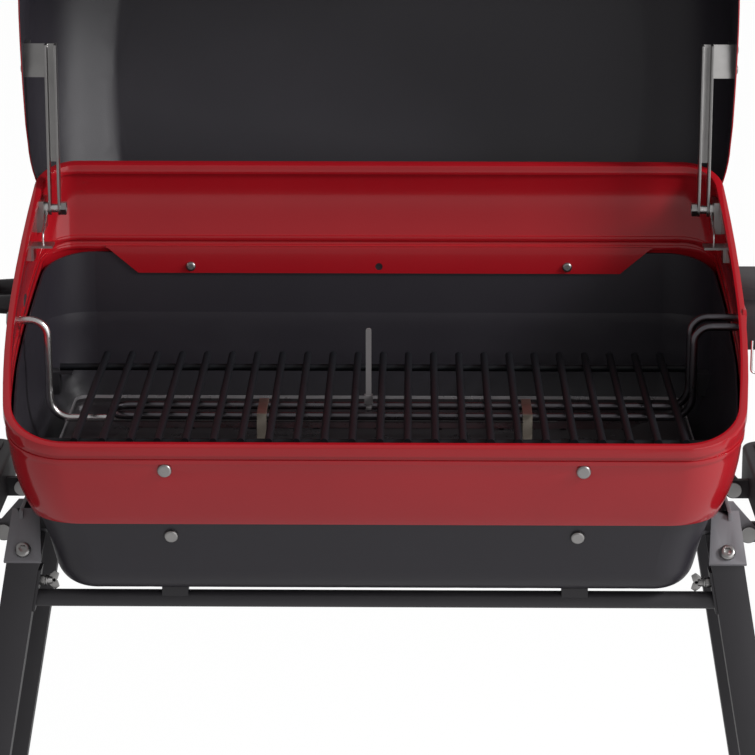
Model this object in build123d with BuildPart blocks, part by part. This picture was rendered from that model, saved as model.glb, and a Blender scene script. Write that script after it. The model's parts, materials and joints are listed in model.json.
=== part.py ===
from build123d import *
import os
from math import atan2, cos, degrees, pi, radians, sin, tan

os.makedirs("parts", exist_ok=True)

# Electric barbecue grill on a stand, hood open. Millimetres, +X right, +Y back, +Z up.
# Pieces are drawn from the middle of the front rim, then set on the floor under their common box.
rim_height = 780.0

# Bowl: the red shell and the black liner inside it
body_half = 291.0
side_bow = 7.0
front_pinch = 8.0
front_wall = -7.0
rear_wall = 331.0
front_corner = 50.0
rear_corner = 32.0
liner_front_corner = 44.0
liner_rear_corner = 42.0
corner_share = 0.35
wall_blend = 24.0
form_top = 190.0
skirt_drop = 69.0
skirt_tuck = 17.0
tuck_power = 2.6
liner_lean = 0.30
bowl_drop = 134.0
bowl_steps = 5
bowl_edge = 26.0
sheet = 1.5
liner_gap = 2.5
liner_wall = 1.5
rim_rise = 156.0
rim_band = 7.0
rim_proud = 2.2
ring_front = -4.0
ring_rear = 92.5
ring_bead = 3.6
ring_pitch = 7.5
ring_proud = 1.3
liner_below_ring = 13.0
seat_gap = 0.2
fit = 0.05

# Screws
truss_head = 5.6
truss_height = 2.6
pan_head = 4.2
pan_height = 2.6
screw_shank = 2.4
head_sink = 0.8
front_screw_x = 162.5
front_screw_z = -20.5
screw_reach = 14.0
recess_width = 1.1
recess_length = 4.6
recess_depth = 1.0

# Rear apron that folds over the liner
apron_bottom = 59.5
apron_top = 83.0
apron_half_bottom = 210.0
apron_half_top = 238.0
apron_sheet = 1.5
apron_screw_x = 164.0
apron_screw_z = 65.5
apron_hole = 3.2

# Cooking grate
bar_count = 23
bar_pitch = 21.9
bar_radius = 3.2
bar_height = -9.0
bar_front = 34.0
bar_rear = 304.0
grate_shift = 4.0
cross_radius = 3.0
cross_front = 55.0
cross_rear = 285.0
cross_half = 276.0
rest_width = 16.0
rest_reach = 22.0
rest_sheet = 2.0
rest_flange = 18.0

# Heating element, its carrying rod, reflector and clips
tube_radius = 3.2
element_height = -22.0
element_front = 155.0
element_rear = 187.0
element_left = -221.0
element_drop_x = 260.0
wall_entry = 55.0
entry_bend = 14.0
lower_bend = 18.0
terminal_reach = 318.0
rod_drop_x = -272.0
rod_end = 150.0
rod_gap = 0.2
rod_reach = 305.0
rod_nut_radius = 7.0
pan_half = 262.0
pan_front = 40.0
pan_rear = 280.0
pan_floor = -46.0
pan_sheet = 1.0
pan_lip = 7.0
pan_corner = 12.0
dimple_pitch = 52.0
dimple_count = 9
dimple_radius = 3.0
dimple_row = 198.0
clip_sheet = 1.0
clip_width = 8.0
clip_margin = 8.0
clip_foot = 12.0
clip_gaps = (-4.5, 5.5)
tie_gap = -0.5
tie_width = 4.6
tie_sheet = 1.3
tie_top = 46.0
tie_head = 7.0

# Control box, knob, inlet and handle on the side walls
plate_front = 140.0
plate_rear = 202.0
plate_low = 37.0
plate_high = 72.0
plate_reach = 301.0
plate_round = 8.0
box_inner = 301.0
box_outer = 352.0
nose_outer = 336.0
nose_front = 146.0
nose_low = 38.0
nose_high = 66.0
box_front = 205.0
box_rear = 285.0
box_low = 32.0
box_high = 76.0
box_round = 7.0
box_wall = 2.5
knob_y = 246.0
knob_z = 54.0
knob_radius = 19.0
knob_height = 16.0
knob_gap = 0.5
spindle_radius = 3.0
spindle_length = 12.0
inlet_width = 26.0
inlet_height = 20.0
inlet_depth = 12.0
inlet_x = 326.0
handle_front = 205.0
handle_rear = 289.0
handle_inset = 12.0
handle_x = -337.0
handle_z = 57.0
grip_radius = 12.0
post_radius = 4.0

# Hood and its hinge
hood_gap = 4.0
hood_top = 208.0
hood_blend = 120.0
hood_tuck = 66.0
hood_low = -40.0
hood_lap = 2.0
hood_steps = 4
hood_kink = 230.0
hood_rear_edge = 190.0
hood_edge_round = 12.0
hinge_y = 300.0
hinge_z = 122.0
hood_open = 105.0
pin_radius = 4.0
pin_inner = 269.0
pin_set = 4.0
collar_radius = 6.0
bracket_inner = 286.5
bracket_front = 284.0
bracket_rear = 314.0
bracket_low = 104.0
bracket_high = 131.0
cheek_outer = 283.5
cheek_inner = 273.5
cheek_sheet = 2.0
arm_width = 12.0
arm_length = 142.0
arm_web_start = 40.0
arm_foot_start = 113.0
arm_foot_depth = 20.0
arm_web_y = 4.0
flange_x = 298.0
arm_screw_y = 14.0
arm_screw_rises = (119.0, 136.0)
hood_side = 303.4
nut_flats = 12.0
nut_height = 4.5
stop_y = 262.0
stop_low = 86.0
stop_high = 99.0
stop_inner = 276.0
stop_sheet = 2.0
stop_flange = 18.0
stop_wall = 292.0
stay_radius = 1.1
stay_x = 284.9
stay_rise = 8.0
stay_bend = 5.0
stay_lower = 2.0
hood_handle_half = 115.0
hood_handle_z = 62.0
hood_handle_reach = 46.0
hood_grip_radius = 11.0
hood_post_radius = 5.0
hood_post_x = 90.0
post_flange = 3.0

# Stand
leg_x = 281.0
leg_front_y = 51.0
leg_rear_y = 273.0
leg_wide = 26.0
leg_deep = 22.0
leg_wall = 1.5
leg_top = -112.0
leg_plug = 40.0
leg_splay = 10.0
foot_half = 15.0
foot_narrow = 11.0
foot_climb = 48.0
foot_sheet = 3.0
rail_set = 14.0
rail_outer = 286.0
rail_inner = 255.0
rail_low = -94.0
rail_high = -76.0
leg_bolt_radius = 4.0
leg_bolt_depth = 6.0
leg_bolt_climb = 10.0
bolt_head = 6.5
bolt_head_height = 3.8
bolt_socket = 3.2
bolt_socket_depth = 2.2
crossbar_radius = 7.0
crossbar_z = -144.5
crossbar_half = 272.0
saddle_top = -126.0
end_plate = 2.0
end_plate_high = -116.0
end_plate_half = 10.0
cross_bolt_z = -127.0
cross_bolt_radius = 2.5
cross_bolt_depth = 14.0
cross_bolt_head = 4.2
cross_bolt_height = 4.0
strap_x = 160.0
strap_half = 10.5
lower_screw_z = -81.0
stretcher_z = -590.0
stretcher_radius = 7.0
long_radius = 6.0
foot_cap_wall = 3.0
foot_cap_height = 26.0
foot_cap_floor = 5.0

# Side shelves
pivot_x = 303.0
pivot_z = -103.0
pivot_radius = 4.0
shelf_inner = 316.0
shelf_outer = 556.0
shelf_front = 30.0
shelf_rear = 290.0
shelf_top = -81.0
shelf_bottom = -111.5
shelf_wall = 3.0
shelf_corner = 18.0
lug_front = 98.0
lug_rear = 222.0
lug_sheet = 6.0
lug_radius = 8.0
arm_sheet = 3.0
arm_gap = 0.4
rivet_head = 6.5
rivet_height = 3.0

# Worked out from the driving sizes
liner_out = sheet + liner_gap
liner_in = liner_out + liner_wall
floor = -rim_height
rod_height = element_height - 2 * tube_radius - rod_gap
SIDES = (("left", -1), ("right", 1))
LEGS = (("front_left", -1, -1, leg_front_y), ("front_right", 1, -1, leg_front_y),
        ("rear_left", -1, 1, leg_rear_y), ("rear_right", 1, 1, leg_rear_y))
BASE = (Align.CENTER, Align.CENTER, Align.MIN)
PIECES = {}


def keep(piece, name):
    """Put a finished piece by under its name."""
    PIECES[name] = piece


def draw_in(height):
    """How far the bowl's wall has curved in at a height."""
    below = max(0.0, wall_blend - max(height, -skirt_drop)) / (wall_blend + skirt_drop)
    return skirt_tuck * below ** tuck_power + liner_lean * max(0.0, -skirt_drop - height)


def wall_lean(height):
    """Angle of the bowl's wall from upright at a height, in degrees."""
    return degrees(atan2(draw_in(height - 1) - draw_in(height + 1), 2))


def outline(height, inset, front_radius, rear_radius):
    """Flat plan outline of the body, with bowed sides and rounded corners."""
    half = body_half - inset
    front = front_wall + inset
    rear = rear_wall - inset
    middle = (front + rear) / 2
    with BuildSketch(Plane.XY.offset(height)) as flat:
        with BuildLine():
            Line((front_pinch - half, front), (half - front_pinch, front))
            for side in (-1, 1):
                widest = (side * (half + side_bow), middle)
                TangentArc(widest, (side * (half - front_pinch), front), tangent=(0, -1))
                TangentArc(widest, (side * half, rear), tangent=(0, 1))
            Line((half, rear), (-half, rear))
        make_face()
        fillet(flat.vertices().group_by(Axis.Y)[0], front_radius)
        fillet(flat.vertices().group_by(Axis.Y)[-1], rear_radius)
    return flat.sketch


def bowl_form(inset, drop, front_radius, rear_radius):
    """Solid form of the bowl, upright above the blend height and curving in below it."""
    step = (wall_blend + drop) / bowl_steps
    sections = []
    for count in range(bowl_steps + 1):
        height = wall_blend - count * step
        tuck = draw_in(height)
        ease = corner_share * tuck
        sections.append(outline(height, inset + tuck, front_radius - ease, rear_radius - ease))
    with BuildPart() as form:
        loft(sections=sections)
        extrude(sections[0], amount=form_top - wall_blend)
    return form.part


def shell_form(inset, drop=skirt_drop):
    """Form of the red shell, offset inwards."""
    return bowl_form(inset, drop, front_corner - inset, rear_corner - inset)


def liner_form(inset, drop=bowl_drop):
    """Form of the black liner, offset inwards from the shell's outside."""
    shift = inset - liner_out
    form = bowl_form(inset, drop - shift, liner_front_corner - shift, liner_rear_corner - shift)
    with BuildPart() as rounded:
        add(form)
        fillet(rounded.faces().sort_by(Axis.Z)[0].edges(), bowl_edge - shift)
    return rounded.part


def slanted(front_height, rear_height):
    """Plane that climbs from the front wall to the rear wall."""
    slope = atan2(rear_height - front_height, rear_wall - front_wall)
    return Plane((0, front_wall, front_height), x_dir=(1, 0, 0), z_dir=(0, -sin(slope), cos(slope)))


def band(outer, inner, plane, low, high):
    """Ring of wall between two heights over a slanted plane."""
    with BuildPart() as ring:
        add(outer)
        add(inner, mode=Mode.SUBTRACT)
        split(bisect_by=plane.offset(high), keep=Keep.BOTTOM)
        split(bisect_by=plane.offset(low), keep=Keep.TOP)
    return ring.part


def drill(place, radius, depth):
    """Cut a round hole both ways from a plane in the part being built."""
    with Locations(place.location):
        Cylinder(radius, 2 * depth, mode=Mode.SUBTRACT)


def screw(place, head_radius, head_height, reach, walls, crossed):
    """Screw whose head stands on a plane, seated on the walls that it holds."""
    axis = Axis(place.origin, place.z_dir)
    with BuildPart() as one:
        with Locations(place.offset(-head_sink).location):
            Cylinder(head_radius, head_height + head_sink, align=BASE)
        fillet(one.faces().sort_by(axis)[-1].edges(), 0.7 * head_height)
        if crossed:
            with Locations(place.offset(head_height).location):
                Box(recess_length, recess_width, 2 * recess_depth, mode=Mode.SUBTRACT)
                Box(recess_width, recess_length, 2 * recess_depth, mode=Mode.SUBTRACT)
        for wall in walls:
            add(wall, mode=Mode.SUBTRACT)
        with Locations(place.offset(-reach).location):
            Cylinder(screw_shank - fit, reach + head_height / 2, align=BASE)
    return one.part


def gathered(pieces):
    """Group of separate solids that share a node."""
    with BuildPart() as group:
        for piece in pieces:
            add(piece)
    return group.part


def bent_rod(points, radii, radius):
    """Round rod along straight runs joined by bends."""
    with BuildPart() as rod:
        with BuildLine() as path:
            FilletPolyline(*points, radius=radii)
        with BuildSketch(Plane(path.line @ 0, z_dir=path.line % 0)):
            Circle(radius)
        sweep()
    return rod.part


def block(low, high):
    """Plain block between two corners."""
    size = [b - a for a, b in zip(low, high)]
    middle = tuple((a + b) / 2 for a, b in zip(low, high))
    with BuildPart() as solid:
        with Locations(middle):
            Box(*size)
    return solid.part


def spread(first, second, side):
    """Two distances from the middle as X bounds on one side, low then high."""
    return sorted((side * first, side * second))


rim_plane = slanted(0, rim_rise)
ring_plane = slanted(ring_front, ring_rear)
liner_plane = ring_plane.offset(-liner_below_ring)

# Places of the screws and holes that the walls share
front_lean = radians(wall_lean(front_screw_z))
front_face = front_wall + draw_in(front_screw_z)
front_places = [Plane((side * front_screw_x, front_face, front_screw_z), x_dir=(1, 0, 0),
                      z_dir=(0, -cos(front_lean), -sin(front_lean))) for _, side in SIDES]
apron_face = rear_wall - liner_in - apron_sheet
apron_places = [Plane((side * apron_screw_x, apron_face, apron_screw_z), x_dir=(1, 0, 0),
                      z_dir=(0, -1, 0)) for _, side in SIDES]
lower_lean = radians(wall_lean(lower_screw_z))
lower_face = front_wall + liner_out + draw_in(lower_screw_z)
lower_places = [Plane((side * strap_x, lower_face, lower_screw_z), x_dir=(1, 0, 0),
                      z_dir=(0, -cos(lower_lean), -sin(lower_lean))) for _, side in SIDES]

# Red shell of the bowl, with its rolled rim and double bead
shell_outer = shell_form(0)
shell_inner = shell_form(sheet, skirt_drop + sheet)
rim_ring = band(shell_form(-rim_proud), shell_form(sheet + rim_proud), rim_plane, -rim_band, 0)
bead_outer = shell_form(-ring_proud)
bead_inner = shell_form(sheet + ring_proud)
with BuildPart() as tub_shell:
    add(shell_outer)
    add(shell_inner, mode=Mode.SUBTRACT)
    split(bisect_by=rim_plane, keep=Keep.BOTTOM)
    add(rim_ring)
    for drop in (0, ring_pitch):
        bead = band(bead_outer, bead_inner, ring_plane.offset(-drop), -ring_bead, 0)
        add(bead)
    split(bisect_by=rim_plane, keep=Keep.BOTTOM)
    for place in front_places:
        drill(place, screw_shank, screw_reach)
    with Locations((0, element_front, wall_entry), (0, element_rear, wall_entry)):
        with Locations(Location((body_half, 0, 0), (0, 90, 0))):
            Cylinder(tube_radius + fit, 60, mode=Mode.SUBTRACT)
    with Locations(Location((-body_half, (element_front + element_rear) / 2, wall_entry), (0, 90, 0))):
        Cylinder(tube_radius + fit, 60, mode=Mode.SUBTRACT)
keep(tub_shell.part, "tub_shell")

# Black liner whose lower half shows under the shell
liner_solid = liner_form(liner_out)
with BuildPart() as tub_liner:
    add(liner_solid)
    add(liner_form(liner_in), mode=Mode.SUBTRACT)
    split(bisect_by=liner_plane, keep=Keep.BOTTOM)
    for place in front_places:
        drill(place, screw_shank, 2 * screw_reach)
    for place in apron_places:
        drill(place, screw_shank, screw_reach)
    for place in lower_places:
        drill(place, screw_shank, screw_reach)
keep(tub_liner.part, "tub_liner")

# Rear apron over the liner's back edge
with BuildPart() as rear_apron:
    with BuildSketch(Plane.XZ.offset(-apron_face)):
        with BuildLine():
            Polyline((-apron_half_bottom, apron_bottom), (apron_half_bottom, apron_bottom),
                     (apron_half_top, apron_top), (-apron_half_top, apron_top), close=True)
        make_face()
    extrude(amount=-apron_sheet)
    add(block((-apron_half_top, apron_face, apron_top - apron_sheet),
              (apron_half_top, rear_wall - sheet - ring_proud, apron_top)))
    for place in apron_places:
        drill(place, screw_shank, screw_reach)
    with Locations(Location((0, apron_face, apron_screw_z), (90, 0, 0))):
        Cylinder(apron_hole, 4 * apron_sheet, mode=Mode.SUBTRACT)
    add(tub_liner.part, mode=Mode.SUBTRACT)
    add(tub_shell.part, mode=Mode.SUBTRACT)
apron = rear_apron.part.solids().sort_by(SortBy.VOLUME)[-1]
keep(Part(apron.wrapped), "rear_apron")

# Screws of the bowl
keep(gathered(screw(place, truss_head, truss_height, screw_reach, [tub_shell.part], False)
              for place in front_places), "shell_screws")
keep(gathered(screw(place, pan_head, pan_height, screw_reach / 3, [rear_apron.part], True)
              for place in apron_places), "apron_screws")

# Cooking grate: front to back bars on two cross rods
bar_under = bar_height - bar_radius
cross_z = bar_under - cross_radius + fit
with BuildPart() as grate:
    for number in range(bar_count):
        bar_x = grate_shift + (number - (bar_count - 1) / 2) * bar_pitch
        with Locations(Location((bar_x, (bar_front + bar_rear) / 2, bar_height), (90, 0, 0))):
            Cylinder(bar_radius, bar_rear - bar_front)
    for cross_y in (cross_front, cross_rear):
        with Locations(Location((0, cross_y, cross_z), (0, 90, 0))):
            Cylinder(cross_radius, 2 * cross_half)
keep(grate.part, "cooking_grate")

# Brackets on the liner's side walls that the grate rests on
rest_top = cross_z - cross_radius
for name, side in SIDES:
    rests = []
    for cross_y in (cross_front, cross_rear):
        wide = (cross_y - rest_width / 2, cross_y + rest_width / 2)
        near, far = spread(cross_half - rest_reach / 2, body_half + side_bow, side)
        flange_near, flange_far = spread(cross_half + rod_gap, body_half + side_bow, side)
        with BuildPart() as rest:
            add(block((near, wide[0], rest_top - rest_sheet), (far, wide[1], rest_top)))
            add(block((flange_near, wide[0], rest_top - rest_sheet - rest_flange),
                      (flange_far, wide[1], rest_top)))
            add(liner_form(liner_in), mode=Mode.INTERSECT)
        rests.append(rest.part)
    keep(gathered(rests), f"grate_rests_{name}")

# Heating element: a hairpin hung from the right wall
element_points = [(terminal_reach, element_front, wall_entry),
                  (element_drop_x, element_front, wall_entry),
                  (element_drop_x, element_front, element_height),
                  (element_left, element_front, element_height),
                  (element_left, element_rear, element_height),
                  (element_drop_x, element_rear, element_height),
                  (element_drop_x, element_rear, wall_entry),
                  (terminal_reach, element_rear, wall_entry)]
turn = (element_rear - element_front) / 2 - fit
element_bends = [entry_bend, lower_bend, turn, turn, lower_bend, entry_bend]
heating_element = bent_rod(element_points, element_bends, tube_radius)
keep(heating_element, "heating_element")

# Bright rod from the left wall that carries the element's far end
rod_y = (element_front + element_rear) / 2
rod_points = [(-rod_reach, rod_y, wall_entry), (rod_drop_x, rod_y, wall_entry),
              (rod_drop_x, rod_y, rod_height), (rod_end, rod_y, rod_height)]
support_rod = bent_rod(rod_points, [entry_bend, lower_bend], tube_radius)
keep(support_rod, "element_support_rod")
with BuildPart() as rod_nut:
    with BuildSketch(Plane((-rod_reach, rod_y, wall_entry), x_dir=(0, 1, 0), z_dir=(1, 0, 0))):
        RegularPolygon(rod_nut_radius, 6)
        Circle(tube_radius + fit, mode=Mode.SUBTRACT)
    extrude(amount=rod_reach - body_half)
    add(shell_outer, mode=Mode.SUBTRACT)
keep(rod_nut.part, "support_rod_nut")

# Shiny reflector pan under the element
with BuildPart() as reflector:
    with BuildSketch(Plane.XY.offset(pan_floor)):
        with Locations((0, (pan_front + pan_rear) / 2)):
            RectangleRounded(2 * pan_half, pan_rear - pan_front, pan_corner)
    extrude(amount=pan_lip)
    with BuildSketch(Plane.XY.offset(pan_floor + pan_sheet)):
        with Locations((0, (pan_front + pan_rear) / 2)):
            RectangleRounded(2 * (pan_half - pan_sheet), pan_rear - pan_front - 2 * pan_sheet,
                             pan_corner - pan_sheet)
    extrude(amount=pan_lip, mode=Mode.SUBTRACT)
    with Locations((0, dimple_row, pan_floor)):
        with GridLocations(dimple_pitch, 1, dimple_count, 1):
            Cylinder(dimple_radius, 4 * pan_sheet, mode=Mode.SUBTRACT)
keep(reflector.part, "reflector_pan")

# Brass clips that hang the reflector from the element
clip_top = element_height + tube_radius
clip_base = pan_floor + pan_sheet
clip_near = element_front - clip_margin
clip_far = element_rear + clip_margin
clips = []
for gap in clip_gaps:
    low_x = grate_shift + gap * bar_pitch - clip_width / 2
    high_x = low_x + clip_width
    with BuildPart() as clip:
        add(block((low_x, clip_near, clip_top), (high_x, clip_far, clip_top + clip_sheet)))
        add(block((low_x, clip_near, clip_base), (high_x, clip_near + clip_sheet, clip_top + clip_sheet)))
        add(block((low_x, clip_far - clip_sheet, clip_base), (high_x, clip_far, clip_top + clip_sheet)))
        add(block((low_x, clip_near - clip_foot, clip_base),
                  (high_x, clip_near + clip_sheet, clip_base + clip_sheet)))
        add(block((low_x, clip_far - clip_sheet, clip_base),
                  (high_x, clip_far + clip_foot, clip_base + clip_sheet)))
    clips.append(clip.part)
keep(gathered(clips), "element_clips")

# Pale nylon tie left round the element
tie_x = grate_shift + tie_gap * bar_pitch
loop_outer = tube_radius + fit + tie_sheet
tie_back = element_rear - loop_outer
with BuildPart() as tie:
    with BuildSketch(Plane.YZ.offset(tie_x - tie_width / 2)):
        with Locations((element_rear, element_height)):
            Circle(loop_outer)
            Circle(tube_radius + fit, mode=Mode.SUBTRACT)
    extrude(amount=tie_width)
    add(block((tie_x - tie_width / 2, tie_back, element_height),
              (tie_x + tie_width / 2, tie_back + tie_sheet, tie_top)))
    tie_head_low = element_height + tube_radius
    add(block((tie_x - tie_head / 2, tie_back - tie_sheet, tie_head_low),
              (tie_x + tie_head / 2, tie_back + tie_head - tie_sheet, tie_head_low + tie_head)))
    fillet(tie.edges().filter_by(Axis.Y).group_by(Axis.Z)[-1], 0.45 * tie_width)
    add(heating_element, mode=Mode.SUBTRACT)
keep(tie.part, "transport_tie")

# Screws through the liner's front under the shell
keep(gathered(screw(place, truss_head, truss_height, screw_reach / 2, [tub_liner.part], False)
              for place in lower_places), "liner_screws")

# Splay of the legs
splay_rate = tan(radians(leg_splay))
bowl_seat = liner_form(liner_out - seat_gap)
bracket_plane = {facing: Plane((0, leg_y + facing * leg_deep / 2, leg_top), x_dir=(1, 0, 0),
                               z_dir=(0, facing * sin(pi / 4), cos(pi / 4)))
                 for facing, leg_y in ((-1, leg_front_y), (1, leg_rear_y))}


def splayed(piece, side):
    """Lean a piece of one side's leg outwards from the leg's top."""
    return piece.rotate(Axis((side * leg_x, 0, leg_top), (0, 1, 0)), -side * leg_splay)


def leg_bar(side, leg_y, inset, top, bottom):
    """Upright bar with the leg's section, drawn in on every face, before the splay."""
    return block((side * leg_x - leg_wide / 2 + inset, leg_y - leg_deep / 2 + inset, bottom),
                 (side * leg_x + leg_wide / 2 - inset, leg_y + leg_deep / 2 - inset, top))


def leg_centre(height):
    """Distance of a leg's centre from the middle at a height."""
    return leg_x + splay_rate * (leg_top - height)


# Crossbars of the stand, with end plates and saddles that carry the bowl
bar_end = leg_x - leg_wide / 2 - seat_gap
for name, facing, bar_y in (("front", -1, leg_front_y), ("rear", 1, leg_rear_y)):
    with BuildPart() as crossbar:
        for _, side in SIDES:
            add(block((side * strap_x - strap_half, bar_y - crossbar_radius + 1, crossbar_z),
                      (side * strap_x + strap_half, bar_y + crossbar_radius - 1, saddle_top)))
        add(bowl_seat, mode=Mode.SUBTRACT)
        with Locations(Location((0, bar_y, crossbar_z), (0, 90, 0))):
            Cylinder(crossbar_radius, 2 * crossbar_half)
        for _, side in SIDES:
            near, far = spread(bar_end - end_plate, bar_end, side)
            plate = block((near, bar_y - end_plate_half, crossbar_z - crossbar_radius),
                          (far, bar_y + end_plate_half, end_plate_high))
            add(splayed(plate, side))
            bolt_hole = Location((side * bar_end, bar_y, cross_bolt_z), (0, 90, 0))
            add(splayed(Cylinder(cross_bolt_radius, 20, mode=Mode.PRIVATE).moved(bolt_hole), side),
                mode=Mode.SUBTRACT)
    keep(crossbar.part, f"crossbar_{name}")

# Pressed side frames that sit on the legs and carry the shelf pivots
for name, side in SIDES:
    rail_y = (leg_front_y + rail_set, leg_rear_y - rail_set)
    with BuildPart() as side_frame:
        near, far = spread(rail_outer - foot_sheet, rail_outer, side)
        add(block((near, rail_y[0], rail_low), (far, rail_y[1], rail_high)))
        near, far = spread(rail_inner, rail_outer, side)
        add(block((near, rail_y[0], rail_low), (far, rail_y[1], rail_low + foot_sheet)))
        for facing, plane in bracket_plane.items():
            with BuildSketch(plane):
                with BuildLine():
                    Polyline((side * leg_x - foot_half, 0), (side * leg_x + foot_half, 0),
                             (side * leg_x + foot_narrow, -facing * foot_climb),
                             (side * leg_x - foot_narrow, -facing * foot_climb), close=True)
                make_face()
                with Locations((side * leg_x, -facing * leg_bolt_climb)):
                    Circle(leg_bolt_radius, mode=Mode.SUBTRACT)
            extrude(amount=foot_sheet)
        for arm_y in (lug_front - arm_gap - arm_sheet, lug_rear + arm_gap):
            with BuildSketch(Plane.XZ.offset(-arm_y - arm_sheet)):
                with BuildLine():
                    Polyline((side * (rail_outer - foot_sheet), rail_high),
                             (side * (rail_outer + 4), rail_high),
                             (side * (pivot_x + 5.8), pivot_z + 5.5), (side * (pivot_x - 5.8), pivot_z - 5.5),
                             (side * (rail_outer - foot_sheet), rail_low), close=True)
                make_face()
                with Locations((side * pivot_x, pivot_z)):
                    Circle(lug_radius)
                    Circle(pivot_radius, mode=Mode.SUBTRACT)
            extrude(amount=arm_sheet)
        add(bowl_seat, mode=Mode.SUBTRACT)
    keep(side_frame.part, f"side_frame_{name}")

# Splayed box legs, plugged at the top and cut to the side frame's slope
leg_bottom = floor + foot_cap_floor
leg_bolts = []
cross_bolts = []
feet = []
for name, side, facing, leg_y in LEGS:
    plane = bracket_plane[facing]
    bolt_place = Plane(plane.from_local_coords(Vector(side * leg_x, -facing * leg_bolt_climb, 0)),
                       x_dir=(1, 0, 0), z_dir=plane.z_dir)
    inner_face = Location((side * bar_end, leg_y, cross_bolt_z), (0, 90, 0))
    with BuildPart() as leg:
        add(splayed(leg_bar(side, leg_y, 0, leg_top + leg_deep, floor - leg_plug), side))
        hollow = leg_bar(side, leg_y, leg_wall, leg_top - leg_plug, floor - leg_plug)
        add(splayed(hollow, side), mode=Mode.SUBTRACT)
        split(bisect_by=plane, keep=Keep.BOTTOM)
        split(bisect_by=Plane.XY.offset(leg_bottom), keep=Keep.TOP)
        with Locations(bolt_place.location):
            Cylinder(leg_bolt_radius, 2 * leg_bolt_depth, mode=Mode.SUBTRACT)
        cross_hole = Cylinder(cross_bolt_radius, 2 * cross_bolt_depth, mode=Mode.PRIVATE)
        add(splayed(cross_hole.moved(inner_face), side), mode=Mode.SUBTRACT)
    keep(leg.part, f"leg_{name}")
    bolt_axis = Axis(bolt_place.origin, bolt_place.z_dir)
    with BuildPart() as bolt:
        with Locations(bolt_place.offset(foot_sheet).location):
            Cylinder(bolt_head, bolt_head_height, align=BASE)
        fillet(bolt.faces().sort_by(bolt_axis)[-1].edges(), 0.7 * bolt_head_height)
        with BuildSketch(bolt_place.offset(foot_sheet + bolt_head_height)):
            RegularPolygon(bolt_socket, 6)
        extrude(amount=-bolt_socket_depth, mode=Mode.SUBTRACT)
        with Locations(bolt_place.offset(fit - leg_bolt_depth).location):
            Cylinder(leg_bolt_radius - fit, leg_bolt_depth + foot_sheet + 1, align=BASE)
    leg_bolts.append(bolt.part)
    head_plane = Plane((side * (bar_end - end_plate), leg_y, cross_bolt_z), x_dir=(0, 1, 0),
                       z_dir=(-side, 0, 0))
    with BuildPart() as cross_bolt:
        with BuildSketch(head_plane):
            RegularPolygon(cross_bolt_head, 6)
        extrude(amount=cross_bolt_height)
        with Locations(head_plane.offset(-cross_bolt_depth + end_plate).location):
            Cylinder(cross_bolt_radius - fit, cross_bolt_depth, align=BASE)
    cross_bolts.append(splayed(cross_bolt.part, side))
    with BuildPart() as rubber_foot:
        add(splayed(leg_bar(side, leg_y, -foot_cap_wall, floor + foot_cap_height, floor - leg_plug), side))
        split(bisect_by=Plane.XY.offset(floor), keep=Keep.TOP)
        add(splayed(leg_bar(side, leg_y, -fit, leg_top, floor - leg_plug), side)
            & block((-2 * leg_x, -leg_x, leg_bottom), (2 * leg_x, 2 * leg_x, leg_top)), mode=Mode.SUBTRACT)
    feet.append(rubber_foot.part)
keep(gathered(leg_bolts), "leg_bolts")
keep(gathered(cross_bolts), "crossbar_bolts")
keep(gathered(feet), "rubber_feet")

# Stretchers that tie the legs together
middle_y = (leg_front_y + leg_rear_y) / 2
side_span = leg_rear_y - leg_front_y - leg_deep - 2 * fit
stretcher_x = leg_centre(stretcher_z)
for name, side in SIDES:
    with BuildPart() as stretcher:
        with Locations(Location((side * stretcher_x, middle_y, stretcher_z), (90, 0, 0))):
            Cylinder(stretcher_radius, side_span)
    keep(stretcher.part, f"stretcher_{name}")
with BuildPart() as long_stretcher:
    with Locations(Location((0, middle_y, stretcher_z), (0, 90, 0))):
        Cylinder(long_radius, 2 * stretcher_x)
    for _, side in SIDES:
        with Locations(Location((side * stretcher_x, middle_y, stretcher_z), (90, 0, 0))):
            Cylinder(stretcher_radius + fit, side_span, mode=Mode.SUBTRACT)
    bars = long_stretcher.part.solids().sort_by(SortBy.VOLUME)
keep(Part(bars[-1].wrapped), "stretcher_long")

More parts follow.
